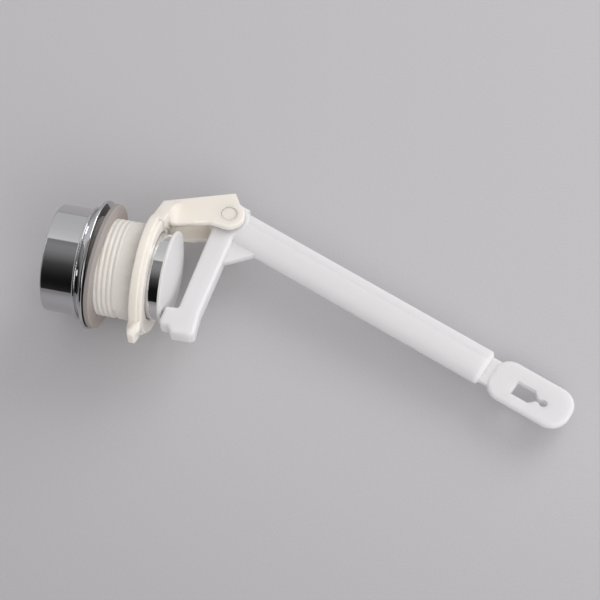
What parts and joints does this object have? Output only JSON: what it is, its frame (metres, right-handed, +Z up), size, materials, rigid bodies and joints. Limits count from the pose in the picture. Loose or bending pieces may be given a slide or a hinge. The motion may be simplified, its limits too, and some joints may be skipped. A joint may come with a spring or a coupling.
{
  "type": "toilet flush button",
  "caption": "Chrome push button in a threaded bezel that clamps to a toilet tank wall and swings a long bell-crank lever, whose keyhole paddle lifts the flush chain.",
  "frame": {"origin": "on the button's axis, in the plane of the gasket's rear face, which seats on the outside of the tank wall", "axes": "+Y along the button's axis into the tank, +Z up, X along the lever's pivot pin"},
  "size_m": [0.048, 0.1945, 0.0686],
  "materials": {
    "chrome": "bright chrome plating on moulded plastic",
    "gasket_rubber": "matte grey-brown foam rubber",
    "ivory_plastic": "glossy ivory moulded plastic",
    "white_plastic": "glossy white moulded plastic"
  },
  "bodies": {
    "housing": {"bezel_nut": "chrome", "gasket": "gasket_rubber", "body": "ivory_plastic", "pivot_pin": "ivory_plastic"},
    "button": {"push_button": "chrome", "button_dome": "white_plastic"},
    "lever": {"lever": "white_plastic"}
  },
  "joints": [
    {"name": "button_press", "type": "slide", "parent": "housing", "child": "button", "axis": [0, 1, 0], "range_m": [-0.0042, 0.0072]},
    {"name": "lever_swing", "type": "hinge", "parent": "housing", "child": "lever", "pos_m": [0, 0.0389, 0.0276], "axis": [1, 0, 0], "range_deg": [-5.3, 9.08]}
  ],
  "couplings": [
    {"joint": "lever_swing", "follows": "button_press", "rad_per_m": 22}
  ]
}
